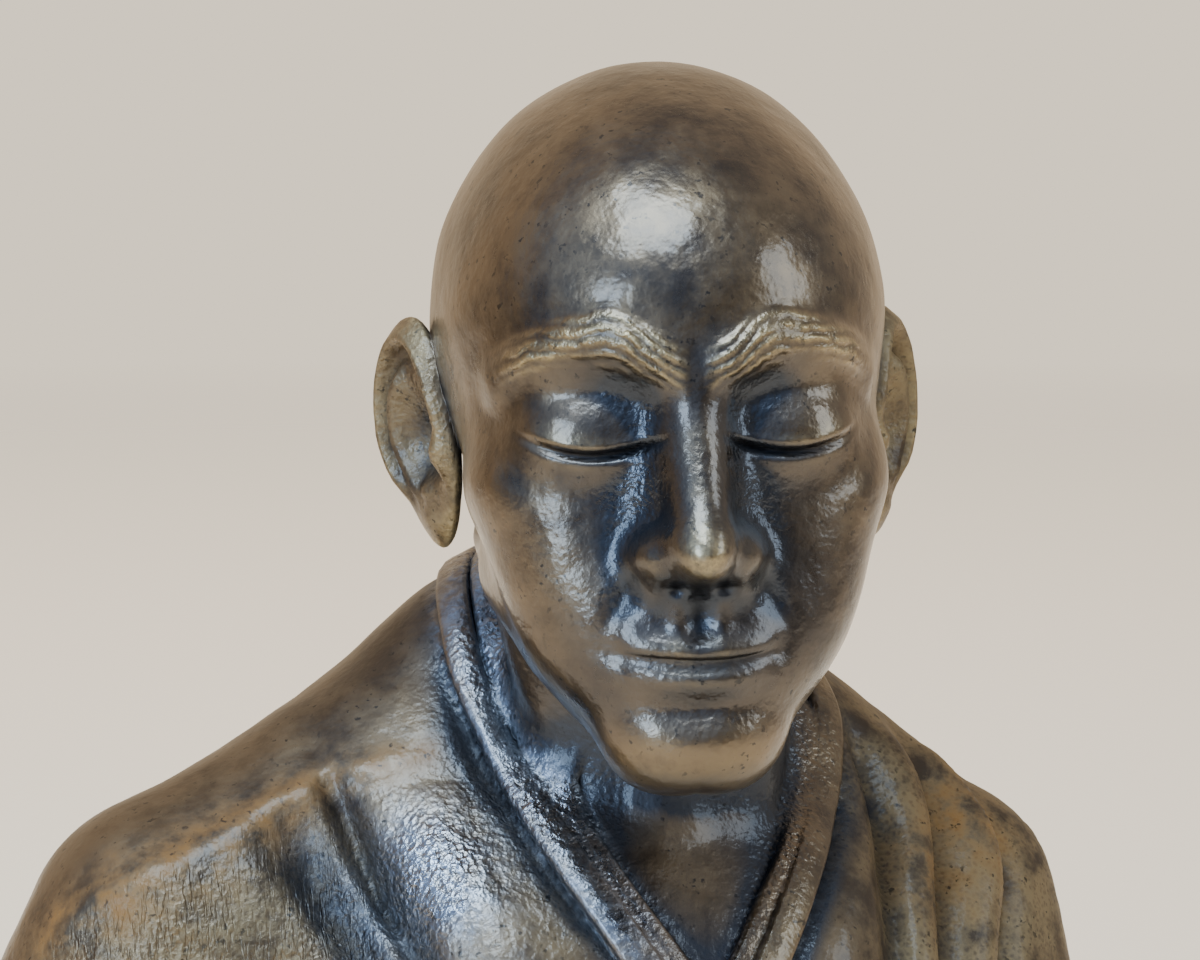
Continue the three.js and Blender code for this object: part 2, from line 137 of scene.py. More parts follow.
def sculpt(first, *steps):
    """Forms melt into one another over the width soft; a carved form is taken away."""
    def form(p):
        d = first(p)
        for step, soft, side in steps:
            d = side * soft_min(side * d, step(p), soft)
        return d
    return form


# The head in its own frame: eyes at z = 0, crown at 35, chin at -35, the face towards -y
SCULPTED_HEAD_HEIGHT = 70.0
SKULL = sculpt(
    ball((0, 3.5, 9), (23.2, 29, 26)),
    add(ball((0, -9, 10), (18.6, 18.2, 16.5)), 6),
    add(ball((0, -7.5, -7), (19.2, 18.6, 22)), 6),
)
JAW = [
    add(pair(rod((13.8, 0, -17), (3.5, -20, -29.5), 4.5, 5)), 6),
    add(ball((0, -22.8, -30), (6.8, 5.8, 5)), 6),
    add(ball((0, -9, -23.5), (12.5, 16, 7)), 4),
]
CHEEKS = [
    add(pair(ball((13.2, -14.6, -6.8), (6.4, 7, 5))), 7),
    add(pair(ball((10.4, -17.6, -15.8), (6.4, 6.4, 8.2))), 6),
]
NECK = sculpt(
    rod((0, 7.5, -10), (0, 23, -58), 14, 15.5),
    add(pair(rod((15.5, 7, -14), (3.5, 7.5, -58), 3.2, 3)), 5),
    add(ball((0, 3.4, -42), (3.4, 3, 5.5)), 4),
)
BROWS = [
    add(pair(arch((1, -25, 4.6), (9, -26.2, 9.4), (16.6, -16.8, 4), 2.3, 1)), 4),
    carve(pair(ball((9.5, -29.6, 0.6), (6.8, 5, 4.6))), 4.5),
]
EYE = (9.4, -19.5, -0.8)
CLOSED_EYES = pair(ball(EYE, (6.4, 6, 5)))
NOSE = [
    add(rod((0, -22.5, 3), (0, -25.6, -10.4), 2.8, 4.2), 3.4),
    add(rod((0, -24.4, 3.8), (0, -30.6, -9.4), 2.3, 2.7), 3),
    add(ball((0, -28.6, -11.3), (3.5, 6, 3.3)), 2),
    add(pair(ball((3.8, -26, -12.2), (2.6, 4.4, 2.6))), 2.2),
    carve(pair(ball((2.3, -29.2, -15.1), (1.3, 2, 1))), 0.9),
]
MUZZLE = ball((0, -20, -21), (11.6, 7.6, 8.2))
HEAD_MASS = sculpt(
    SKULL, *JAW, *CHEEKS, add(NECK, 5), *BROWS, add(CLOSED_EYES, 3), *NOSE, add(MUZZLE, 6),
)


def band(value, centre, width):
    """1 at the centre, falling off softly on both sides."""
    return np.exp(-((value - centre) / width) ** 2)


def ramp(value, start, end):
    """From 0 at the start to 1 at the end, which may lie below the start."""
    return np.clip((value - start) / (end - start), 0, 1)


def below(value, edge, soft):
    """1 below an edge and 0 above it, with a soft step between."""
    return 1 / (1 + np.exp((value - edge) / soft))


def above(value, edge, soft):
    return below(-value, -edge, soft)


def face_relief(p):
    """Lines and edges of the closed lids, lips, and the hollows round the mouth."""
    side, z = np.abs(p[:, 0]), p[:, 2]
    front = ramp(-p[:, 1], 10, 18)
    bow = (side - EYE[0]) ** 2
    lashes = -2.6 + 0.04 * bow
    lids = (
        0.15 * band(z, lashes + 0.4 + FINEST_LINE, 0.2 + FINEST_LINE)
        - 0.85 * band(z, lashes, FINEST_LINE)
        - 0.15 * band(z, 3.3 - 0.05 * bow, 0.9)
    )
    across = np.clip(1 - (side / 7.6) ** 2, 0, 1)
    lip_line = -22 + 0.012 * side ** 2
    lips = across * (0.7 * band(z, lip_line + 1.2, 1.2) + 0.95 * band(z, lip_line - 1.6, 1.5))
    lips -= 0.8 * np.sqrt(across) * band(z, lip_line, FINEST_LINE)
    corner = -0.4 * band(side, 8, 1.4) * band(z, lip_line, 1.4)
    under_nose = (0.3 * band(side, 2.1, 0.9) - 0.45 * band(side, 0, 1.1)) * band(z, -18, 2)
    under_lip = -0.6 * band(z, -26.6, 1.6) * band(side, 0, 5.5)
    beside_mouth = -0.45 * band(side, -1 - 0.5 * z, 1.4) * band(z, -16.5, 3.5)
    lids *= np.exp(-(bow / 30) ** 2)
    return front * (lids + lips + corner + under_nose + under_lip + beside_mouth)


def head_form(p):
    return HEAD_MASS(p) - face_relief(p)


# Rings of the head's surface: share of the rows, fall and lean of the rays in degrees, start y and z
HEAD_RINGS = np.array([
    (0.0, 0, 24, 2, 6),  # crown
    (0.18, 50, 14, -6, 6),  # forehead
    (0.37, 88, 0, -14, 1),  # eyes
    (0.57, 98, -8, -14, -5),  # nose
    (0.74, 108, -14, -11, -12),  # mouth
    (0.86, 118, -18, -7, -17),  # chin
    (0.93, 118, -20, 5, -27),  # throat
    (1.0, 92, -18, 21, -52),  # root of the neck
])
NECK_ROOT = (0, 24, -60)
# How much closer the columns stand at the face than on average
FACE_DENSITY = 0.42

# The robe's body: chest, bent back, and the sloping shoulders and upper arms
RIGHT_ARM = [(-4, 19, 62), (-24, 13, 47), (-46, 9, 36), (-55.5, 5, 14), (-61, 3, -16)]
LEFT_ARM = [(4, 19, 60), (21, 15, 46.3), (34.4, 13, 32.8), (40, 9, 6.5), (42.6, 8, -20)]
ROBE = sculpt(
    ball((-2, 3.5, 12), (45, 27, 42)),
    add(ball((-3, 16, 26), (43, 25, 40)), 8),
    add(strand(RIGHT_ARM, [12, 13, 15, 17, 19]), 9),
    add(strand(LEFT_ARM, [12, 13, 16, 16.5, 17]), 9),
    add(ball((-8, 17, 60), (14, 10, 12)), 6),
)

# Folds: height (below zero a groove), half width, and points that the fold runs through
SHOULDER_RIDGE = [
    (-21.8, -0.6, 55.9), (-31.8, 0.3, 53.9), (-40, -0.7, 49.9), (-48.6, -2.1, 46), (-57.2, 1, 39.8),
]
SEAM = [(-32.7, 9.5, 59.6), (-32.4, 3.9, 57), (-31.7, 0.5, 54)]
INNER_VALLEY = [
    (-31.7, 1, 55), (-29.8, -3.4, 49.2), (-27.2, -7.2, 43.8), (-24.8, -12.4, 38.5), (-20, -18, 24),
    (-15, -22, 4),
]
OUTER_VALLEY = [
    (-37, 0, 52), (-35, -3.3, 47.4), (-32.5, -6, 42.9), (-29.8, -9.8, 38), (-25.5, -16, 24),
    (-21, -20, 4),
]
FOLDS = [
    # panel over the left shoulder and the fan of folds beside it
    (1.0, 3.6, [
        (24.2, 4.4, 55.2), (23.2, 0, 50.5), (21.4, -8.8, 42.4), (17.8, -14.8, 36), (13, -21, 22),
        (9, -24, 2),
    ]),
    (-2.3, 1.7, [
        (25.2, 6, 55.5), (25.9, 2.8, 52.4), (26.4, -2.5, 46.1), (25.1, -8.4, 40.2), (21, -17, 22),
        (18, -22, 2),
    ]),
    (1.1, 2.4, [(28.5, 8, 55), (30.4, 2, 49.5), (30, -5, 41.5), (27, -13, 28), (25, -19, 2)]),
    (-2.0, 1.8, [
        (31, 12, 54), (34.5, 4.9, 48.1), (33.7, -1.6, 41.9), (31.6, -8.6, 33.4), (29.5, -13.5, 18),
        (29, -16, 0),
    ]),
    (1.1, 2.6, [(35, 12, 51), (38.5, 5, 44.5), (38, -1, 38.5), (35.5, -7.5, 28), (34, -11, 4)]),
    (-2.0, 1.8, [
        (38, 12, 47.5), (42, 3.5, 41.4), (41.6, -0.4, 36.8), (39.5, -4.9, 30), (38.5, -9, 14),
        (38, -10, 0),
    ]),
    (0.9, 3.0, [(42, 15, 46), (47.5, 8, 38), (48.5, 3, 27), (47, -1, 4)]),
    # right shoulder: the polished ridge and its seam, two deep valleys and the swell beside the collar
    (0.6, 1.5, SHOULDER_RIDGE),
    (-0.4, 0.8, SEAM),
    (-1.2, 0.7, [(-25.6, -10.5, 41), (-28, -6.5, 45.5), (-30.2, -3, 50.3), (-31.9, 0, 54.5)]),
    (-3.0, 1.7, INNER_VALLEY),
    (1.2, 4.6, [
        (-21.6, -2.3, 53.5), (-21.6, -6.8, 47.4), (-19.6, -11.2, 43.3), (-14, -18, 28), (-8, -22, 10),
    ]),
    (-2.6, 2.7, OUTER_VALLEY),
    (1.2, 3.4, [(-43, -4, 42), (-39, -9, 28), (-34, -13.5, 10), (-31, -16, -4)]),
    (-1.5, 2.8, [(-48, -3, 36), (-45, -8, 22), (-41, -11, 6), (-39, -12, -6)]),
    # lines cut beside the outer collar
    (-0.6, 0.9, [
        (-18.4, 7.4, 65.3), (-16.7, -1.3, 56), (-11.8, -11.7, 45.8), (-6.4, -17.4, 38.3), (-1, -21, 29),
    ]),
    (-0.6, 0.9, [
        (23.8, 5, 56.3), (21.1, -2.9, 49.5), (18.1, -9.2, 44.7), (12.4, -16.6, 37), (6.6, -20.5, 28),
        (0, -23.5, 14),
    ]),
    # soft folds across the back
    (-1.7, 4.2, [(-26, 36, 50), (-14, 43, 34), (-2, 44, 16), (4, 43, -4)]),
    (1.3, 4.6, [(-18, 38, 56), (-5, 44, 38), (8, 44, 18), (15, 42, -4)]),
    (-1.6, 4.2, [(26, 34, 48), (20, 41, 34), (19, 43, 16), (24, 41, -4)]),
    (-1.5, 4.2, [(-44, 24, 40), (-38, 32, 26), (-33, 36, 10), (-31, 37, -4)]),
]
# A fold swells over this share of its length, from its start
FOLD_FADE = 0.22

# Collars, from the foot of the side that lies below, round the nape, to the foot of the side on top
OUTER_COLLAR = {
    "points": [
        (2.6, -21.2, 27.2), (0.6, -20.3, 30.4), (-5.1, -16.9, 39.4), (-10.2, -10.2, 47.6),
        (-14.3, -1.1, 56.4), (-16.4, 7.1, 65.6), (-12.5, 19, 71), (-3, 24, 73), (7, 23, 71),
        (16, 16, 65), (21.5, 7, 58), (20.5, 0, 52), (17.2, -7, 47), (12.4, -13.5, 41), (6.5, -19, 33),
        (0, -22, 22), (-6, -24, 10), (-12, -24, -6),
    ],
    "width": 3.6,
    "lift": -0.2,
    "overlap": 1.5,
}
INNER_COLLAR = {
    "points": [
        (3.4, -20, 31), (0.5, -18.5, 35), (-4.6, -14.6, 42.6), (-8, -9.2, 48.6),
        (-10.6, -2, 56), (-12.8, 6, 63.8), (-10, 17, 70), (-2, 21.5, 72), (6, 20.5, 70),
        (13.5, 14, 64.5), (18.4, 5.5, 57.4), (17.6, -1, 51.6), (14.2, -8.4, 46), (9.4, -14.4, 40.6),
        (4, -19, 33.5), (-2, -22, 24), (-8, -23, 12), (-13, -23, 0),
    ],
    "width": 3.2,
    "lift": -0.5,
    "overlap": 0.8,
}
# Share of a collar's length from which it rises over its other side
OVERLAP_START = 0.6
# Share of a collar's length at which its halves meet behind the neck
NAPE = 0.48
# 1 is a round section and 0 a square one
COLLAR_ROUNDNESS = 0.45


# Surfaces
def leave(form, starts, ways, stride=0.8, least=0.3, farthest=110.0, halvings=10):
    """Where rays that start inside a form leave it."""
    outer = np.zeros(len(starts))
    inner = outer.copy()
    live = np.arange(len(starts))
    while len(live):
        d = form(starts[live] + ways[live] * outer[live, None])
        going = (d < 0) & (outer[live] < farthest)
        live, d = live[going], d[going]
        inner[live] = outer[live]
        outer[live] += np.maximum(-stride * d, least)
    for _ in range(halvings):
        middle = (inner + outer) / 2
        inside = form(starts + ways * middle[:, None]) < 0
        inner = np.where(inside, middle, inner)
        outer = np.where(inside, outer, middle)
    return starts + ways * inner[:, None]


def unit(rows):
    return rows / np.linalg.norm(rows, axis=1)[:, None]


def outward(form, points, step=0.05):
    """Directions straight away from a form."""
    slopes = [form(points + step * way) - form(points - step * way) for way in np.eye(3)]
    return unit(np.column_stack(slopes))


def settle(form, points, rounds=5):
    """Draws points onto the surface of a form."""
    settled = np.array(points, float)
    for _ in range(rounds):
        settled -= form(settled)[:, None] * outward(form, settled)
    return settled


def through_points(points, steps):
    """An even curve through points, with so many steps between each two."""
    points = np.array(points, float)
    ends = np.vstack((2 * points[0] - points[1], points, 2 * points[-1] - points[-2]))
    t = (np.arange(steps) / steps)[:, None]
    spans = []
    for a, b, c, d in zip(ends, ends[1:], ends[2:], ends[3:]):
        square, cube = 2 * a - 5 * b + 4 * c - d, 3 * b - a - 3 * c + d
        spans.append((2 * b + (c - a) * t + square * t * t + cube * t ** 3) / 2)
    return np.vstack(spans + [points[-1:]])


def over_robe(points, steps=4):
    """An even curve through points, drawn onto the robe."""
    return settle(ROBE, through_points(points, steps))


def nearest_on_line(points, line):
    """Distance of points to a line of points, and the share of its length where it is nearest."""
    distance = np.full(len(points), np.inf)
    share = np.zeros(len(points))
    for i, (start, end) in enumerate(zip(line, line[1:])):
        along = end - start
        t = np.clip((points - start) @ along / (along @ along), 0, 1)
        away = np.linalg.norm(points - start - t[:, None] * along, axis=1)
        nearer = away < distance
        distance[nearer] = away[nearer]
        share[nearer] = (i + t[nearer]) / (len(line) - 1)
    return distance, share


def closed_skin(rings, end=None):
    """Points, four-sided faces and end fans of a closed skin over rings of equal length."""
    rows, columns, _ = rings.shape
    if end is None:
        end = rings[-1].mean(axis=0)
    points = np.vstack((rings.reshape(-1, 3), rings[0].mean(axis=0), end))
    j = np.arange(columns)
    k = (j + 1) % columns
    a = np.arange(rows - 1)[:, None] * columns
    cells = np.stack((a + j, a + columns + j, a + columns + k, a + k), axis=2).reshape(-1, 4)
    last = (rows - 1) * columns
    caps = [np.column_stack((np.full(columns, rows * columns), j, k)),
            np.column_stack((np.full(columns, rows * columns + 1), last + k, last + j))]
    return points, cells, np.vstack(caps)


def in_scene(name, data):
    made = bpy.data.objects.new(name, data)
    bpy.context.scene.collection.objects.link(made)
    return made


def new_piece(name, skin):
    points, cells, caps = skin
    mesh = bpy.data.meshes.new(name)
    mesh.from_pydata(points.tolist(), [], cells.tolist() + caps.tolist())
    return in_scene(name, mesh)


def smooth_noise(points, size, seed=0.0):
    return np.array([noise.noise(Vector(p) / size + Vector((seed, 0, 0))) for p in points])


BROW_HALF_HEIGHT = 3.0
BROW_SPACING = 1.2


def brow_hair(p):
    """How thickly the brows cover each point of the head, and the turns of the strands across it."""
    x = np.abs(p[:, 0])
    across = p[:, 2] - 8.6 + 0.042 * (x - 10) ** 2 - 0.35 * np.sin(0.55 * x + 0.3 * p[:, 2])
    taper = np.clip(1.25 - x / 32, 0.6, 1) * BROW_HALF_HEIGHT
    cover = np.clip(1.5 - 1.5 * np.abs(across) / taper, 0, 1)
    cover *= ramp(x, 0.6, 3.1) * ramp(x, 18.6, 15.6) * (p[:, 1] < 0)
    phase = across / BROW_SPACING + 0.4 * np.sin(0.7 * x) - 0.09 * x
    return cover, phase


def head_relief(p):
    """Fine relief of the head: strands of the brows and the unevenness of the casting."""
    cover, phase = brow_hair(p)
    return cover * (0.55 + 0.14 * np.sin(TAU * phase)) + 0.16 * smooth_noise(p, 7.0)


def head_skin():
    turn = TAU * np.arange(HEAD_COLUMNS) / HEAD_COLUMNS
    turn = turn - FACE_DENSITY * np.sin(turn)
    share = np.arange(1, HEAD_ROWS + 1) / HEAD_ROWS
    ring_share, *ring_values = HEAD_RINGS.T
    fall, lean, start_y, start_z = (np.interp(share, ring_share, values) for values in ring_values)
    starts = np.column_stack((np.zeros(HEAD_ROWS), start_y, start_z))
    starts = np.repeat(starts, HEAD_COLUMNS, axis=0)
    fall, lean = (np.repeat(np.radians(angle), HEAD_COLUMNS) for angle in (fall, lean))
    turn = np.tile(turn, HEAD_ROWS)
    across, ahead, up = np.sin(fall) * np.sin(turn), -np.sin(fall) * np.cos(turn), np.cos(fall)
    leaned_ahead = ahead * np.cos(lean) + up * np.sin(lean)
    leaned_up = up * np.cos(lean) - ahead * np.sin(lean)
    surface = leave(head_form, starts, np.column_stack((across, leaned_ahead, leaned_up)))
    surface += outward(head_form, surface) * head_relief(surface)[:, None]
    rings = surface.reshape(HEAD_ROWS, HEAD_COLUMNS, 3)
    return closed_skin(rings, NECK_ROOT)


def mound(a, b, centre_a, centre_b, radius_a, radius_b):
    return np.exp(-((a - centre_a) / radius_a) ** 2 - ((b - centre_b) / radius_b) ** 2)


def arc_share(degrees, start, end, soft=4.7):
    """1 where an angle lies between two others, falling off softly past them."""
    away = np.abs((degrees - (start + end) / 2 + 540) % 360 - 180) - (end - start) / 2
    return below(away, 0, soft)


def ear_relief(share, angle, a, b):
    """Rim, inner ridge, groove between them, bowl, ridge across it, flap, knob below, and lobe."""
    degrees = np.degrees(angle)
    return (
        1.7 * band(share, 0.86, 0.11) * arc_share(degrees, -35, 172)
        + 1.3 * band(share, 0.5, 0.12) * arc_share(degrees, -68, 75)
        - 0.9 * band(share, 0.7, 0.08) * arc_share(degrees, -30, 120)
        - 2.6 * mound(a, b, -0.9, -0.6, 2.6, 3.9)
        + 1.0 * mound(a, b, -2.2, 1.6, 2.2, 0.9)
        + 1.9 * mound(a, b, -4.9, -1.6, 1.3, 2.2)
        + 1.2 * mound(a, b, -0.9, -5.6, 1.6, 1.2)
        + 0.9 * mound(a, b, -0.6, -9, 2.6, 2.2)
    )


EAR_SPLAY = math.radians(20)
EAR_TILT = 0.16
EAR_ROOT = np.array([23.0, 6, -2.6])
EAR_LIFT, EAR_FRONT, EAR_BACK = 0.5, 1.1, 1.5


def ear_skin(side):
    """One ear as a curled plate with relief, in the head's frame; side is -1 for the right ear."""
    across = np.array([side * math.sin(EAR_SPLAY), math.cos(EAR_SPLAY), 0])
    lean = RIGHT_EAR_LEAN if side < 0 else LEFT_EAR_LEAN
    up = np.array([side * lean, EAR_TILT, 1])
    up -= across * (up @ across)
    up /= np.linalg.norm(up)
    out = np.cross(across, up) * side
    root = EAR_ROOT * (side, 1, 1)
    share = np.repeat(np.sin(math.pi / 2 * np.arange(1, EAR_ROWS + 1) / EAR_ROWS), EAR_COLUMNS)
    angle = np.tile(TAU * np.arange(EAR_COLUMNS) / EAR_COLUMNS, EAR_ROWS)
    edge = np.sqrt(np.clip(1 - share ** 5, 0, 1))
    narrow = 1 - 0.34 * np.clip(-np.sin(angle), 0, 1) ** 1.5
    a = EAR_HALF_WIDTH * share * np.cos(angle) * narrow
    b = EAR_HALF_HEIGHT * share * np.sin(angle)
    curl = np.where(a > -3, 0.022 * (a + 3) ** 2, 0)

    def place(a, b, c):
        return root + np.outer(a, across) + np.outer(b, up) + np.outer(c, out)

    front = place(a, b, EAR_LIFT + edge * (EAR_FRONT + ear_relief(share, angle, a, b)) + curl)
    back = place(a, b, EAR_LIFT - edge * EAR_BACK + curl)
    shape = (EAR_ROWS, EAR_COLUMNS, 3)
    rings = np.vstack((front.reshape(shape), back.reshape(shape)[:-1][::-1]))
    if side < 0:
        rings = rings[:, ::-1]
    return closed_skin(rings)


# The rays that find the robe's surface start on a flat-sided ring inside it
CORE_PLACE = np.array([-4.0, 12.0])
CORE_HEIGHT, CORE_RISE = 24.0, 12.0
CORE_HALF_LENGTH, CORE_RADIUS = 30.0, 6.0
# The ring's bends get so many times the columns that their length would
BEND_COLUMNS = 3
FRONT_SPACING = 0.55
BELOW_FLOOR = -2.0
# Share of the rows in the dome over the core, above the upright wall
DOME_SHARE = 0.66


def core_ring(columns):
    """Starts and ways of the rays round the core, closer at the front."""
    straight = 2 * CORE_HALF_LENGTH
    bend = math.pi * CORE_RADIUS * BEND_COLUMNS
    total = 2 * (straight + bend)
    j = np.arange(columns)
    side = np.where(j < columns / 2, 1, -1)
    from_front = side * 2 * j / columns + (1 - side)
    share = from_front * (FRONT_SPACING + (1 - FRONT_SPACING) * from_front ** 3)
    along = ((side * share + 2) * (total / 2) + straight / 2) % total
    flip = np.where(along >= straight + bend, -1, 1)
    part = np.where(flip < 0, along - straight - bend, along)
    angle = -math.pi / 2 + math.pi * np.clip(part - straight, 0, None) / bend
    slide = np.minimum(part, straight) - CORE_HALF_LENGTH
    ways = np.column_stack((flip * np.cos(angle), flip * np.sin(angle)))
    return np.column_stack((flip * slide, 0 * slide)) + CORE_RADIUS * ways, ways


FOLD_LINES = [(height, half, over_robe(points)) for height, half, points in FOLDS]


def robe_relief(p):
    """Folds of the robe and the unevenness of the casting."""
    height = 0.25 * smooth_noise(p, 9.0, 5.0) + 0.1 * smooth_noise(p, 3.5, 9.0)
    for ridge, half, line in FOLD_LINES:
        away, share = nearest_on_line(p, line)
        height += ridge * np.exp(-(away / half) ** 2) * np.minimum(share / FOLD_FADE, 1) ** 0.7
    return height


def robe_skin():
    places, ways = core_ring(ROBE_COLUMNS)
    dome = round(ROBE_ROWS * DOME_SHARE)
    row = np.arange(1, ROBE_ROWS + 1)
    angle = np.repeat(math.pi / 2 * np.minimum(row / dome, 1), ROBE_COLUMNS)
    drop = np.repeat(np.clip(row - dome, 0, None) / (ROBE_ROWS - dome), ROBE_COLUMNS)
    wall = CORE_HEIGHT + (BELOW_FLOOR - CORE_HEIGHT) * drop + CORE_RISE * np.cos(angle)
    outer = np.sin(angle)[:, None]
    starts = np.column_stack((np.tile(places, (ROBE_ROWS, 1)) * outer + CORE_PLACE, wall))
    rays = np.column_stack((np.tile(ways, (ROBE_ROWS, 1)) * outer, np.cos(angle)))
    surface = leave(ROBE, starts, rays)
    surface += rays * robe_relief(surface)[:, None]
    rings = surface.reshape(ROBE_ROWS, ROBE_COLUMNS, 3)
    return closed_skin(rings, (*CORE_PLACE, BELOW_FLOOR))


def collar_skins(points, width, lift, overlap):
    """A flat band with rounded edges that lies on the robe, as two lengths that meet at the nape."""
    spine = over_robe(points, COLLAR_STEPS)
    along = unit(np.gradient(spine, axis=0))
    out = outward(ROBE, spine)
    out = unit(out - (out * along).sum(1)[:, None] * along)
    across = np.cross(along, out)
    over = ramp(np.linspace(0, 1, len(spine)), OVERLAP_START, 1)
    rise = lift + overlap * over * over * (3 - 2 * over)
    angle = TAU * (np.arange(COLLAR_SIDES) + 0.5) / COLLAR_SIDES
    u, v = (np.sign(wave) * np.abs(wave) ** COLLAR_ROUNDNESS for wave in (np.cos(angle), np.sin(angle)))
    sideways = across[:, None] * (u * width / 2)[:, None]
    upwards = out[:, None] * ((v * COLLAR_THICKNESS / 2)[:, None] + rise[:, None, None])
    rings = spine[:, None] + sideways + upwards
    nape = round(NAPE * len(rings))
    return [closed_skin(length) for length in (rings[:nape + 1], rings[nape:])]


def turned(angle, first, second):
    """Rotation matrix that turns the first axis towards the second."""
    matrix = np.eye(3)
    matrix[first, first] = matrix[second, second] = math.cos(angle)
    matrix[second, first] = math.sin(angle)
    matrix[first, second] = -math.sin(angle)
    return matrix


HEAD_TURN = turned(HEAD_YAW, 0, 1) @ turned(HEAD_ROLL, 2, 0)
HEAD_SCALE = HEAD_HEIGHT / SCULPTED_HEAD_HEIGHT


def head_to_bust(skin):
    points, cells, caps = skin
    return HEAD_SCALE * points @ HEAD_TURN.T + HEAD_CENTRE, cells, caps


def bust_to_head(points):
    return (points - HEAD_CENTRE) @ HEAD_TURN / HEAD_SCALE


def floor_block():
    """The block that cuts the bust flat below."""
    half, deep = 120.0, 60.0
    ring = np.array([(-half, -half), (half, -half), (half, half), (-half, half)])
    rings = np.array([np.column_stack((ring, np.full(4, z))) for z in (0.0, -deep)])
    return closed_skin(rings)


def finished_mesh(piece):
    """A mesh of its own with the piece's modifiers carried out."""
    evaluated = piece.evaluated_get(bpy.context.evaluated_depsgraph_get())
    return bpy.data.meshes.new_from_object(evaluated)


def join_and_cut(base, joined, cut):
    """One mesh from the base joined with other pieces, less the cut piece."""
    for other, operation in [(piece, "UNION") for piece in joined] + [(cut, "DIFFERENCE")]:
        modifier = base.modifiers.new(other.name, "BOOLEAN")
        modifier.object = other
        modifier.operation = operation
        modifier.solver = "MANIFOLD"
    mesh = finished_mesh(base)
    for piece in [base, *joined, cut]:
        bpy.data.objects.remove(piece)
    return mesh


def drop_slivers(mesh):
    """Keeps the largest shell, without the tiny loose ones that the joining can leave."""
    work = bmesh.new()
    work.from_mesh(mesh)
    unseen = set(work.verts)
    shells = []
    while unseen:
        shell = [unseen.pop()]
        for corner in shell:
            near = {edge.other_vert(corner) for edge in corner.link_edges} & unseen
            unseen -= near
            shell.extend(near)
        shells.append(shell)
    shells.sort(key=len)
    loose = [corner for shell in shells[:-1] for corner in shell]
    bmesh.ops.delete(work, geom=loose, context="VERTS")
    work.to_mesh(mesh)
    work.free()


def read_rows(items, field, width, kind=float):
    values = np.empty(len(items) * width, kind)
    items.foreach_get(field, values)
    return values.reshape(-1, width)


def points_and_edges(mesh):
    """The points of a mesh, and the first and the second ends of its edges."""
    return read_rows(mesh.vertices, "co", 3), read_rows(mesh.edges, "vertices", 2, np.int32).T


def spread(values, ends, times):
    """Evens out a value over the surface, each point taking the mean of itself and its neighbours."""
    a, b = ends
    count = len(values)
    met = 1 + np.bincount(a, minlength=count) + np.bincount(b, minlength=count)
    for _ in range(times):
        values = (values + np.bincount(a, values[b], count) + np.bincount(b, values[a], count)) / met
    return values


THROAT_REACH = 2.2
THROAT_ROUNDS = 45


def soften_throat(mesh):
    """Lets the neck run smoothly into the chest between the collars."""
    points, ends = points_and_edges(mesh)
    to_robe = np.abs(ROBE(points)) / THROAT_REACH
    to_head = np.abs(head_form(bust_to_head(points))) / THROAT_REACH
    share = np.exp(-to_robe ** 2 - to_head ** 2)[:, None]
    for _ in range(THROAT_ROUNDS):
        even = np.column_stack([spread(points[:, i], ends, 1) for i in range(3)])
        points = points + share * (even - points)
    mesh.vertices.foreach_set("co", points.ravel())
    mesh.update()


# Rays into a wide cone round each point's normal: how far off they start, and how far they look
RAYS = 10
CONE_WIDTH = 0.92
SHELTER_START, SHELTER_REACH = 0.15, 16.0


def shelter(points, normals, mesh):
    """Share of the directions in which each point has other parts of the bust close in front of it."""
    tree = BVHTree.FromPolygons(points.tolist(), [tuple(face.vertices) for face in mesh.polygons])
    i = np.arange(RAYS) + 0.5
    height = np.sqrt(1 - i / RAYS * CONE_WIDTH)
    angle = i * math.pi * (3 - math.sqrt(5))
    side = np.cross(normals, np.where(np.abs(normals[:, 2:]) > 0.9, (1, 0, 0), (0, 0, 1)))
    side /= np.linalg.norm(side, axis=1)[:, None] + 1e-9
    other = np.cross(normals, side)
    starts = [Vector(point) for point in points + SHELTER_START * normals]
    met = np.zeros(len(points))
    for up, turn in zip(height, angle):
        flat = math.sqrt(1 - up * up)
        ways = normals * up + flat * (side * math.cos(turn) + other * math.sin(turn))
        hits = [tree.ray_cast(start, Vector(way), SHELTER_REACH)[3] for start, way in zip(starts, ways)]
        met += [0.0 if hit is None else 1 - hit / SHELTER_REACH for hit in hits]
    return met / RAYS


# Where the finish changes, as a share at each point of the surface
RIDGE_LINE = over_robe(SHOULDER_RIDGE, 6)
PANEL_PLACE, PANEL_RADIUS = np.array([-23.0, -9.0, 45.6]), 7.0
RUST_SPOTS = [((38, 4, 45), 7.5), ((32, -5, 42), 6.0), ((-44, -1, 47), 4.0), ((-56, 2, 34), 7.0)]
# Above this height the collars are rough
NAPE_HEIGHT = 72


def line_share(p, points, half_width):
    """1 on a line over the robe, falling off softly past its half width and towards its start."""
    away, share = nearest_on_line(p, over_robe(points))
    return np.exp(-(away / half_width) ** 2) * np.minimum(share / FOLD_FADE, 1)


def panel_share(p):
    """1 at the middle of the panel beside the right collar."""
    return np.exp(-np.sum((p - PANEL_PLACE) ** 2, axis=1) / PANEL_RADIUS ** 2)


def collar_share(p):
    """1 on the collars, falling off at their edges."""
    spines = [over_robe(collar["points"], 3) for collar in (OUTER_COLLAR, INNER_COLLAR)]
    away = np.min([nearest_on_line(p, spine)[0] for spine in spines], axis=0)
    return np.clip(1.6 - away / 1.8, 0, 1)


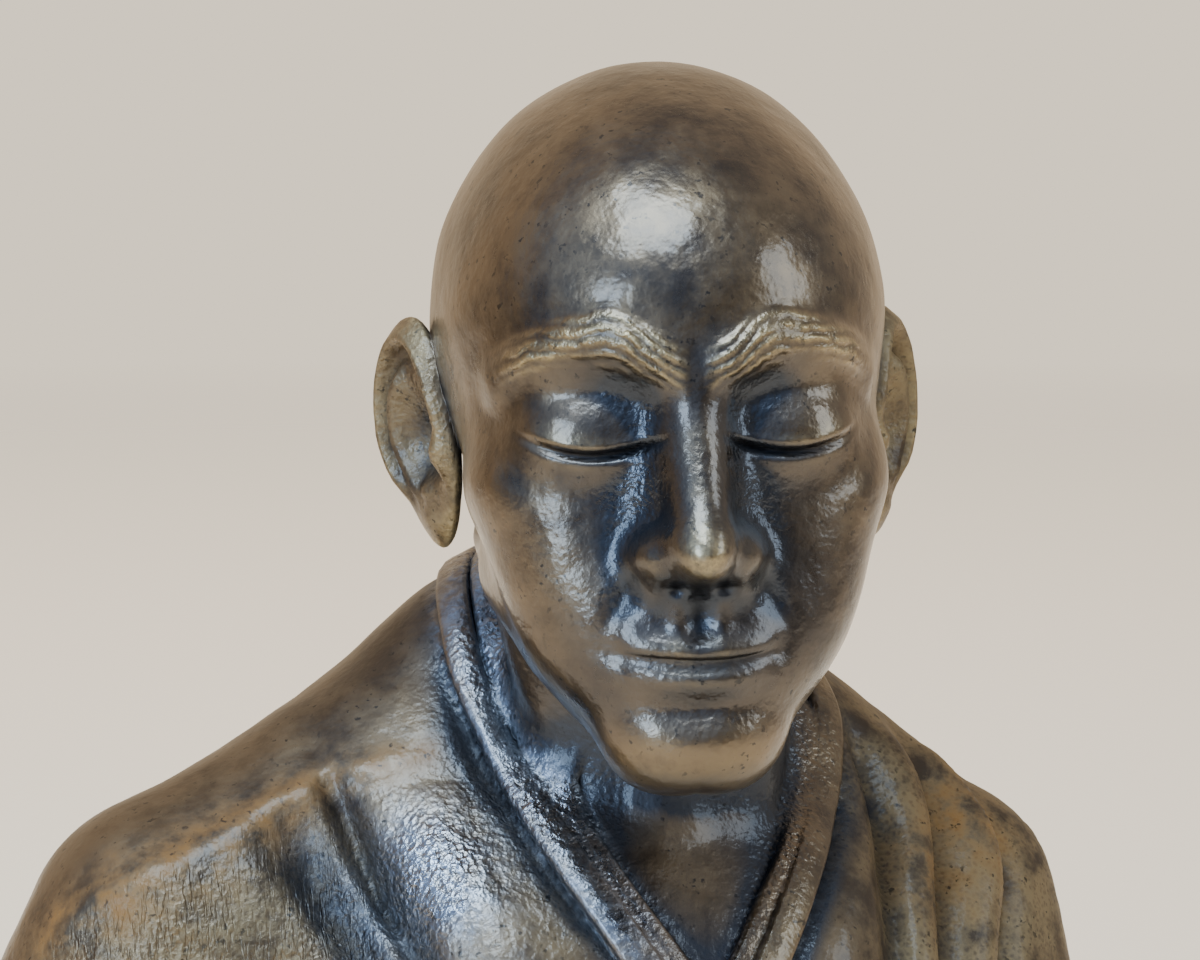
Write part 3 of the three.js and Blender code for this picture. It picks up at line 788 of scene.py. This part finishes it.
def rough_cast(p):
    """1 where the cast grain was left: on the front below the right ridge, and a little at the left."""
    x, y, z = p.T
    ridge_height = np.interp(x, RIDGE_LINE[::-1, 0], RIDGE_LINE[::-1, 2])
    collar_edge = -5 - 0.43 * (z - 39)
    polished = 0.75 * above(x, 0.2 * (45 - z) - 26, 1.5) * (1 - panel_share(p))
    right = below(z, ridge_height - 0.5, 1.0) * below(x, collar_edge, 1.0) * (1 - polished)
    left = 0.25 * above(x, 24, 3)
    return below(z, 58, 2) * below(y, 4, 3) * np.maximum(right, left)


def painted_sheen_share(p):
    """1 where a blue steel sheen is painted into the colour: on the panel and, less, on the right half of
    the collars.
    """
    return np.maximum(0.9 * panel_share(p), 0.65 * below(p[:, 0], -3, 1.5) * collar_share(p))


def rust_share(p):
    """1 in the rust: along the shoulder ridge, wider towards its foot, and in spots on the shoulders."""
    away, share = nearest_on_line(p, RIDGE_LINE)
    total = np.exp(-(away / (1.6 + 3.5 * share)) ** 2) * (0.7 + 0.3 * share)
    for place, radius in RUST_SPOTS:
        distance = np.linalg.norm(p - np.array(place), axis=1)
        total = np.maximum(total, 0.9 * np.exp(-(distance / radius) ** 2))
    return total


def face_patina(p):
    """1 where the dark patina was left on the front of the face, between brows and chin."""
    x, y, z = p.T
    return ramp(y, -12, -18) * np.exp(-(x / 14) ** 4) * ramp(z, 10, 6) * ramp(z, -31, -27)


# How often bends are evened out, for fine, middle and broad forms
FINE_ROUNDS, MIDDLE_ROUNDS, BROAD_ROUNDS = 2, 12, 60
SHARPEST_BEND = 1.2


def surface_bend(points, normals, ends):
    """How the surface bulges, below zero in hollows: closely, and evened out over wider places."""
    first, second = ends
    gap = points[second] - points[first]
    turn = ((normals[second] - normals[first]) * gap).sum(1) / ((gap * gap).sum(1) + 0.02)
    count = len(points)
    met = np.bincount(first, minlength=count) + np.bincount(second, minlength=count) + 1e-6
    bend = (np.bincount(first, turn, count) + np.bincount(second, turn, count)) / met
    fine = spread(np.clip(bend, -SHARPEST_BEND, SHARPEST_BEND), ends, FINE_ROUNDS)
    middle = spread(fine, ends, MIDDLE_ROUNDS)
    return fine, middle, spread(middle, ends, BROAD_ROUNDS)


def surface_masks(mesh):
    """The shares that the finish depends on: the surface's form, its parts, its wear, and where shade and
    a blue sheen are painted.
    """
    points, ends = points_and_edges(mesh)
    normals = read_rows(mesh.vertex_normals, "vector", 3)
    x, _, z = points.T
    fine, middle, broad = surface_bend(points, normals, ends)
    head_points = bust_to_head(points)
    brow_cover, brow_phase = brow_hair(head_points)
    dress = ramp(head_form(head_points), 0, 0.8)
    # Painted shade under the chin: the throat joins the shelter share, which darkens the colour where
    # other parts of the bust close over the surface.
    under_chin_shade = ramp(head_points[:, 2], -31, -37) * (1 - dress)
    rough = rough_cast(points)
    return {
        "raised": ramp(0.8 * middle + 0.6 * broad, 0.1, 0.5) ** 1.3,
        "hollow": ramp(-0.6 * middle - 1.4 * broad, -0.01, 0.21),
        "groove": ramp(-fine, 0.16, 0.66),
        "shelter": np.maximum(spread(shelter(points, normals, mesh), ends, 4), 0.75 * under_chin_shade),
        "brow_cover": brow_cover,
        "brow_phase": brow_phase,
        "dress": dress,
        "rough_cast": np.maximum(rough, 0.8 * dress * (z > NAPE_HEIGHT)),
        "hatched": rough * ramp(x, -26, -34),
        "panel": panel_share(points),
        "collars": collar_share(points),
        "steely": dress * painted_sheen_share(points),
        "valley": np.maximum(
            line_share(points, INNER_VALLEY, 2.0), line_share(points, OUTER_VALLEY, 3.6),
        ),
        "face_patina": face_patina(head_points),
        "far_side": dress * above(x, 23, 2.5),
        "rust": rust_share(points),
    }


def store_masks(mesh, masks):
    for name, values in masks.items():
        layer = mesh.attributes.new(name, "FLOAT", "POINT")
        layer.data.foreach_set("value", values.astype(np.float32))


def build_bust():
    base = new_piece("robe", robe_skin())
    skins = collar_skins(**INNER_COLLAR) + collar_skins(**OUTER_COLLAR)
    skins += [head_to_bust(skin) for skin in (head_skin(), ear_skin(-1), ear_skin(1))]
    joined = [new_piece(f"part_{i}", skin) for i, skin in enumerate(skins)]
    mesh = join_and_cut(base, joined, new_piece("floor_block", floor_block()))
    drop_slivers(mesh)
    soften_throat(mesh)
    masks = surface_masks(mesh)
    store_masks(mesh, masks)
    mesh.transform(Matrix.Scale(MM, 4))
    return roughened(in_scene("cast_bust", mesh), cast_grain_tree(), bronze(masks))


# Nodes
def feed(tree, node, inputs):
    """Gives a node's inputs plain values, or joins the sockets of other nodes to them."""
    for name, value in inputs.items():
        socket = node.inputs[name]
        if isinstance(value, bpy.types.NodeSocket):
            tree.links.new(value, socket)
        else:
            socket.default_value = value


def add_node(tree, kind, inputs=None, **settings):
    """A node with its settings, and its inputs as values or as sockets of other nodes."""
    made = tree.nodes.new(kind)
    for name, value in settings.items():
        setattr(made, name, value)
    feed(tree, made, inputs or {})
    return made


def calculate(tree, operation, first, second=0.0, third=0.0):
    inputs = {0: first, 1: second, 2: third}
    return add_node(tree, "ShaderNodeMath", inputs, operation=operation).outputs[0]


def product(tree, first, *others):
    for other in others:
        first = calculate(tree, "MULTIPLY", first, other)
    return first


def weighted(tree, start, *parts):
    """A start value plus others, each times its weight."""
    for value, weight in parts:
        start = calculate(tree, "MULTIPLY_ADD", value, weight, start)
    return start


def vector_result(tree, operation, first, second=(0, 0, 0), scale=1.0):
    """The vector or the number that a vector operation gives."""
    inputs = {0: first, 1: second, 3: scale}
    made = add_node(tree, "ShaderNodeVectorMath", inputs, operation=operation)
    return made.outputs["Value" if operation in ("LENGTH", "DOT_PRODUCT") else "Vector"]


def vary(tree, value, low, high, new_low=0.0, new_high=1.0):
    """A value mapped from one range to another, held inside it."""
    inputs = {"Value": value, "From Min": low, "From Max": high, "To Min": new_low, "To Max": new_high}
    return add_node(tree, "ShaderNodeMapRange", inputs).outputs["Result"]


# A Mix node's sockets: the share, the two colours and the mixed one
MIX_SHARE, MIX_FIRST, MIX_SECOND, MIX_RESULT = 0, 6, 7, 2


def blend(tree, share, first, second):
    """A colour between two others."""
    inputs = {MIX_SHARE: share, MIX_FIRST: first, MIX_SECOND: second}
    return add_node(tree, "ShaderNodeMix", inputs, data_type="RGBA").outputs[MIX_RESULT]


def grain(tree, place, size_mm, detail=3.0, roughness=0.55):
    """Noise from 0 to 1 with grains of a size in millimetres."""
    inputs = {"Vector": place, "Scale": 1 / (size_mm * MM), "Detail": detail, "Roughness": roughness}
    return add_node(tree, "ShaderNodeTexNoise", inputs).outputs["Fac"]


def jitter(tree, place):
    """Small uneven shifts of a place, of a fraction of a millimetre."""
    inputs = {"Vector": place, "Scale": 1 / (0.9 * MM), "Detail": 1.0}
    colour = add_node(tree, "ShaderNodeTexNoise", inputs).outputs["Color"]
    centred = vector_result(tree, "SUBTRACT", colour, (0.5, 0.5, 0.5))
    return vector_result(tree, "SCALE", centred, scale=0.6 * MM)


def strokes(tree, place):
    """Short upright chisel strokes, 1 where they are cut."""
    narrow = vector_result(tree, "MULTIPLY", place, (4.5, 0.8, 0.8))
    return vary(tree, grain(tree, narrow, 2.4, detail=2.0), 0.5, 0.6)


def new_material(name):
    """A material, its nodes and its shader."""
    material = bpy.data.materials.new(name)
    material.use_nodes = True
    return material, material.node_tree, material.node_tree.nodes["Principled BSDF"]


def cast_grain_tree():
    """Geometry nodes that push the surface in and out by the grain of the casting where it is rough."""
    tree = bpy.data.node_groups.new("cast_grain", "GeometryNodeTree")
    sockets = {"Grain Size": 1.9, "Grain Depth": 0.2, "Overall Depth": 0.05}
    new_socket = tree.interface.new_socket
    new_socket("Geometry", in_out="INPUT", socket_type="NodeSocketGeometry")
    for name, millimetres in sockets.items():
        socket = new_socket(name, in_out="INPUT", socket_type="NodeSocketFloat")
        socket.default_value = millimetres * MM
    new_socket("Material", in_out="INPUT", socket_type="NodeSocketMaterial")
    new_socket("Geometry", in_out="OUTPUT", socket_type="NodeSocketGeometry")
    given = add_node(tree, "NodeGroupInput").outputs
    mask = add_node(tree, "GeometryNodeInputNamedAttribute", {"Name": "rough_cast"})
    place = add_node(tree, "GeometryNodeInputPosition").outputs[0]
    scale = calculate(tree, "DIVIDE", 1.0, given["Grain Size"])
    noise_inputs = {"Vector": place, "Scale": scale, "Detail": 2.0}
    height = add_node(tree, "ShaderNodeTexNoise", noise_inputs).outputs["Fac"]
    depth = weighted(tree, given["Overall Depth"], (mask.outputs["Attribute"], given["Grain Depth"]))
    push = product(tree, calculate(tree, "SUBTRACT", height, 0.5), depth)
    normal = add_node(tree, "GeometryNodeInputNormal").outputs[0]
    shift = {"Geometry": given["Geometry"], "Offset": vector_result(tree, "SCALE", normal, scale=push)}
    moved = add_node(tree, "GeometryNodeSetPosition", shift).outputs[0]
    real = add_node(tree, "GeometryNodeRealizeInstances", {"Geometry": moved}).outputs[0]
    finish = {"Geometry": real, "Material": given["Material"]}
    finished = add_node(tree, "GeometryNodeSetMaterial", finish).outputs[0]
    add_node(tree, "NodeGroupOutput", {"Geometry": finished})
    return tree


def roughened(bust, tree, material):
    modifier = bust.modifiers.new("cast_grain", "NODES")
    modifier.node_group = tree
    sockets = {item.name: item.identifier for item in tree.interface.items_tree if item.in_out == "INPUT"}
    modifier[sockets["Material"]] = material
    mesh = finished_mesh(bust)
    bust.modifiers.remove(modifier)
    bust.data = mesh
    mesh.polygons.foreach_set("use_smooth", [True] * len(mesh.polygons))
    return bust


# Bronze: dark brown patina, rubbed golden, blackish in hollows, tan or rusty in places; painted shade and
# blue sheen
GROOVE_BLACK = (0.006, 0.006, 0.007, 1)
SHADE_AND_PATINA_DARK = (0.03, 0.031, 0.036, 1)
PATINA_DARK = (0.055, 0.038, 0.025, 1)
PATINA_BROWN = (0.16, 0.107, 0.058, 1)
CAST_TAN = (0.23, 0.165, 0.085, 1)
RUBBED_GOLD = (0.48, 0.35, 0.17, 1)
RUST_ORANGE = (0.32, 0.145, 0.033, 1)
PAINTED_BLUE_SHEEN = (0.3, 0.33, 0.38, 1)
COAT_ROUGHNESS, COAT_IOR = 0.17, 1.5

# Sizes of the cast grain, millimetres
DIMPLE_SIZE = 0.62
RELIEF_DEPTH = 0.2


def brow_strands(tree, place, phase):
    """1 on the strands of the brows and 0 between them, weaker here and there."""
    turns = weighted(tree, phase, (grain(tree, place, 2.5), 0.9))
    waves = calculate(tree, "SINE", product(tree, turns, TAU))
    breaks = vary(tree, grain(tree, place, 1.4), 0.36, 0.56, 0.3, 1)
    return product(tree, vary(tree, waves, -1, 1), breaks)


def cast_metal(tree, mask_names):
    """The masks, and the noises and marks that the colour, gloss and relief share."""
    place = add_node(tree, "ShaderNodeTexCoord").outputs["Object"]
    metal = SimpleNamespace(place=place)
    for name in mask_names:
        mask = add_node(tree, "ShaderNodeAttribute", attribute_name=name)
        setattr(metal, name, mask.outputs["Fac"])
    metal.clouds = grain(tree, place, 15.0, detail=4.0)
    metal.stains = grain(tree, place, 4.5, detail=5.0, roughness=0.65)
    metal.crust = grain(tree, place, 1.1, roughness=0.6)
    metal.fine_grain = grain(tree, place, 0.5, detail=2.0)
    warped = vector_result(tree, "ADD", place, jitter(tree, place))
    dimple_inputs = {"Vector": warped, "Scale": 1 / (DIMPLE_SIZE * MM)}
    metal.dimples = add_node(tree, "ShaderNodeTexVoronoi", dimple_inputs).outputs["Distance"]
    metal.burnished = calculate(tree, "MAXIMUM", metal.panel, product(tree, metal.collars, 0.8))
    metal.rusty = product(tree, metal.rust, vary(tree, metal.stains, 0.4, 0.65, 0, 0.8))
    metal.brow_gold = product(tree, metal.brow_cover, brow_strands(tree, place, metal.brow_phase))
    return metal


def patina(tree, metal):
    """The colour, layer over layer from the brown ground to the grooves and pits, with painted shade and a
    painted blue sheen among the layers.
    """
    stains = metal.stains
    mottle = weighted(tree, product(tree, metal.clouds, 0.6), (stains, 0.5))
    brown = blend(tree, vary(tree, mottle, 0.44, 0.64), PATINA_DARK, PATINA_BROWN)

    # Painted shade and patina: darker where other parts of the bust close over the surface and under the
    # chin (painted shade), in the hollows and on the face's front (dark patina), along the two robe
    # valleys and in stains, and less on the collars.
    shade_and_patina = weighted(
        tree, metal.hollow, (metal.shelter, 1.2), (metal.valley, 1.0), (metal.face_patina, 0.5),
        (metal.collars, -0.3), (stains, 0.6),
    )
    darkened = blend(tree, vary(tree, shade_and_patina, 0.45, 1.15), brown, SHADE_AND_PATINA_DARK)

    tan_share = weighted(tree, product(tree, metal.far_side, 0.85), (metal.rough_cast, 0.6))
    tan_share = product(
        tree, vary(tree, stains, 0.36, 0.6), vary(tree, metal.dimples, 0.15, 0.5, 0.25, 1),
        product(tree, tan_share, vary(tree, metal.valley, 0, 1, 1, 0.1)),
    )
    tanned = blend(tree, tan_share, darkened, CAST_TAN)
    rusted = blend(tree, metal.rusty, tanned, RUST_ORANGE)

    worn = vary(tree, metal.fine_grain, 0.3, 0.6, 0.5, 1)
    worn = product(tree, worn, vary(tree, stains, 0.38, 0.58, 0.45, 1))
    worn = product(tree, calculate(tree, "MAXIMUM", metal.raised, metal.brow_gold), worn)
    rubbed = blend(tree, worn, rusted, RUBBED_GOLD)
    # Painted sheen: a pale blue steel colour stands in for the blue-white reflection on the panel and the
    # right half of the collars.
    painted_sheen_patches = product(tree, metal.steely, vary(tree, metal.crust, 0.38, 0.6, 0.45, 1))
    sheen_painted = blend(tree, painted_sheen_patches, rubbed, PAINTED_BLUE_SHEEN)

    grooved = blend(tree, metal.groove, sheen_painted, GROOVE_BLACK)
    pits = vary(tree, grain(tree, metal.place, 0.8, detail=2.0), 0.62, 0.69, 0, 0.75)
    pits = product(tree, pits, vary(tree, stains, 0.44, 0.58, 0.1, 1))
    return blend(tree, pits, grooved, GROOVE_BLACK)


def dullness(tree, metal):
    """The roughness: more in grooves, rust and shelter and on the dress, less where burnished."""
    dull = weighted(
        tree, product(tree, metal.rusty, 0.35), (metal.groove, 0.3), (metal.dress, 0.17),
        (metal.shelter, 0.3), (metal.far_side, 0.17), (metal.burnished, -0.28),
    )
    return calculate(tree, "ADD", vary(tree, metal.stains, 0.3, 0.7, 0.24, 0.4), dull)


def relief(tree, metal):
    """The height of the dimples, the grain, the chisel strokes, the unevenness and the brows."""
    clouds = metal.clouds
    rough_share = weighted(
        tree, metal.rough_cast, (metal.hollow, 0.6), (metal.face_patina, 0.35),
        (metal.panel, 0.5), (metal.collars, 1.1),
    )
    rough_share = weighted(tree, 0.06, (rough_share, vary(tree, clouds, 0.4, 0.6, 0.5, 0.9)))
    cut = product(tree, metal.hatched, vary(tree, clouds, 0.42, 0.56, -0.2, -0.8))
    cast = weighted(
        tree, product(tree, metal.dimples, vary(tree, clouds, 0.4, 0.62, 0.1, 0.6)),
        (metal.crust, 1.1), (metal.fine_grain, 0.3), (strokes(tree, metal.place), cut),
    )
    uneven = grain(tree, metal.place, 2.6)
    return weighted(tree, product(tree, cast, rough_share), (uneven, 0.75), (metal.brow_gold, 0.9))


def coat_share(tree, metal):
    """How thick the clear polish is: most where burnished, none where the surface is bare."""
    bare = weighted(
        tree, metal.groove, (metal.dress, 0.3), (metal.far_side, 0.45), (metal.hatched, 0.3),
        (metal.rusty, 0.6), (metal.shelter, 0.6), (metal.burnished, -0.6),
    )
    return vary(tree, bare, -0.3, 1, 0.8, 0)


def bronze(mask_names):
    material, tree, shader = new_material("bronze")
    metal = cast_metal(tree, mask_names)
    bump = add_node(tree, "ShaderNodeBump", {"Height": relief(tree, metal), "Distance": RELIEF_DEPTH * MM})
    feed(tree, shader, {
        "Base Color": patina(tree, metal),
        "Roughness": dullness(tree, metal),
        "Metallic": vary(tree, metal.rusty, 0, 1, 0.95, 0.6),
        "Normal": bump.outputs[0],
        "Coat Normal": bump.outputs[0],
        "Coat Weight": coat_share(tree, metal),
        "Coat Roughness": COAT_ROUGHNESS,
        "Coat IOR": COAT_IOR,
    })
    return material


# Studio, the floor in metres
FLOOR_RADIUS = 1.6
FLOOR_SIDES = 64
FADE_START, FADE_END = 0.15, 0.9 * FLOOR_RADIUS
PALE_FLOOR = (0.78, 0.66, 0.5, 1)
PALE_AIR = (1.22, 1.06, 0.84, 1)
ROOM_BELOW = (0.03, 0.027, 0.025, 1)
ROOM_ABOVE = (0.36, 0.4, 0.5, 1)
ROOM_BESIDE = (0.62, 0.6, 0.57, 1)
ROOM_BEHIND = (0.8, 0.62, 0.42, 1)
WINDOW_WAY = (-0.62, -0.5, 0.6)
WINDOW_GLOW = (0.6, 0.9, 1.5, 1)

# Lights: place, aim and size in millimetres, power in watts, colour
BUST_MIDDLE = (0, -8, 70)
LIGHTS = {
    "window_above": ((-120, -240, 490), BUST_MIDDLE, (300, 230), 3.4, (0.6, 0.8, 1.0)),
    "window_left": ((-400, -360, 180), BUST_MIDDLE, (180, 260), 2.0, (0.5, 0.72, 1.0)),
    "window_right": ((330, -260, 230), BUST_MIDDLE, (200, 260), 0.85, (0.65, 0.82, 1.0)),
    "floor_wash": ((0, 500, 900), (0, 500, 0), (900, 600), 13.0, (1.0, 0.93, 0.82)),
}


def studio_floor():
    """A round pale floor that fades out into the pale air."""
    mesh = bpy.data.meshes.new("floor")
    turns = [TAU * i / FLOOR_SIDES for i in range(FLOOR_SIDES)]
    ring = [(FLOOR_RADIUS * math.cos(turn), FLOOR_RADIUS * math.sin(turn), 0) for turn in turns]
    mesh.from_pydata(ring, [], [range(FLOOR_SIDES)])
    material, tree, shader = new_material("pale_floor")
    place = add_node(tree, "ShaderNodeTexCoord").outputs["Object"]
    away = vector_result(tree, "LENGTH", place)
    fading = vary(tree, away, FADE_START, FADE_END, 1, 0)
    feed(tree, shader, {"Base Color": PALE_FLOOR, "Roughness": 0.7, "Alpha": fading})
    mesh.materials.append(material)
    return in_scene("floor", mesh)


def pale_air():
    """Pale for the camera; as light, brighter above than below, cool towards the window, warm behind."""
    world = bpy.data.worlds.new("studio")
    bpy.context.scene.world = world
    world.use_nodes = True
    tree = world.node_tree
    tree.nodes.clear()
    direction = add_node(tree, "ShaderNodeTexCoord").outputs["Generated"]
    split = add_node(tree, "ShaderNodeSeparateXYZ", {0: direction}).outputs
    room = blend(tree, split["Z"], ROOM_BELOW, ROOM_ABOVE)
    towards = vector_result(tree, "DOT_PRODUCT", direction, WINDOW_WAY)
    room = blend(tree, vary(tree, towards, 0.35, 1), room, WINDOW_GLOW)
    room = blend(tree, vary(tree, split["X"], 0, 0.8, 0, 0.7), room, ROOM_BESIDE)
    room = blend(tree, vary(tree, split["Y"], 0, 0.7), room, ROOM_BEHIND)
    lighting = add_node(tree, "ShaderNodeBackground", {"Color": room}).outputs[0]
    shown = add_node(tree, "ShaderNodeBackground", {"Color": PALE_AIR}).outputs[0]
    seen = add_node(tree, "ShaderNodeLightPath").outputs["Is Camera Ray"]
    mixed = add_node(tree, "ShaderNodeMixShader", {0: seen, 1: lighting, 2: shown}).outputs[0]
    add_node(tree, "ShaderNodeOutputWorld", {"Surface": mixed})


def soft_light(name, place_mm, aim_mm, size_mm, power, colour):
    """A rectangular light, unseen by the camera; the floor's own doesn't glint either."""
    light = bpy.data.lights.new(name, "AREA")
    light.shape = "RECTANGLE"
    light.size, light.size_y = size_mm[0] * MM, size_mm[1] * MM
    light.energy = power
    light.color = colour
    lamp = in_scene(name, light)
    lamp.location = Vector(place_mm) * MM
    lamp.rotation_euler = (Vector(aim_mm) - Vector(place_mm)).to_track_quat("-Z", "Y").to_euler()
    lamp.visible_camera = False
    lamp.visible_glossy = name != "floor_wash"


def photograph_camera():
    level = Vector((math.sin(VIEW_AZIMUTH), -math.cos(VIEW_AZIMUTH), 0))
    back = math.cos(VIEW_ELEVATION) * level + Vector((0, 0, math.sin(VIEW_ELEVATION)))
    data = bpy.data.cameras.new("photograph")
    data.lens = LENS
    data.clip_start, data.clip_end = 0.01, 20
    camera = in_scene("photograph", data)
    right = (-back).cross(Vector((0, 0, 1))).normalized()
    up = right.cross(-back)
    centre = Vector(FACE_PLACE) - VIEW_LEFT * right - VIEW_DOWN * up
    camera.location = (centre + VIEW_DISTANCE * back) * MM
    camera.rotation_euler = (-back).to_track_quat("-Z", "Y").to_euler()
    bpy.context.scene.camera = camera


bust = build_bust()
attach(bust, "root")
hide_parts(NODE)
studio_floor()
pale_air()
for name, values in LIGHTS.items():
    soft_light(name, *values)
photograph_camera()
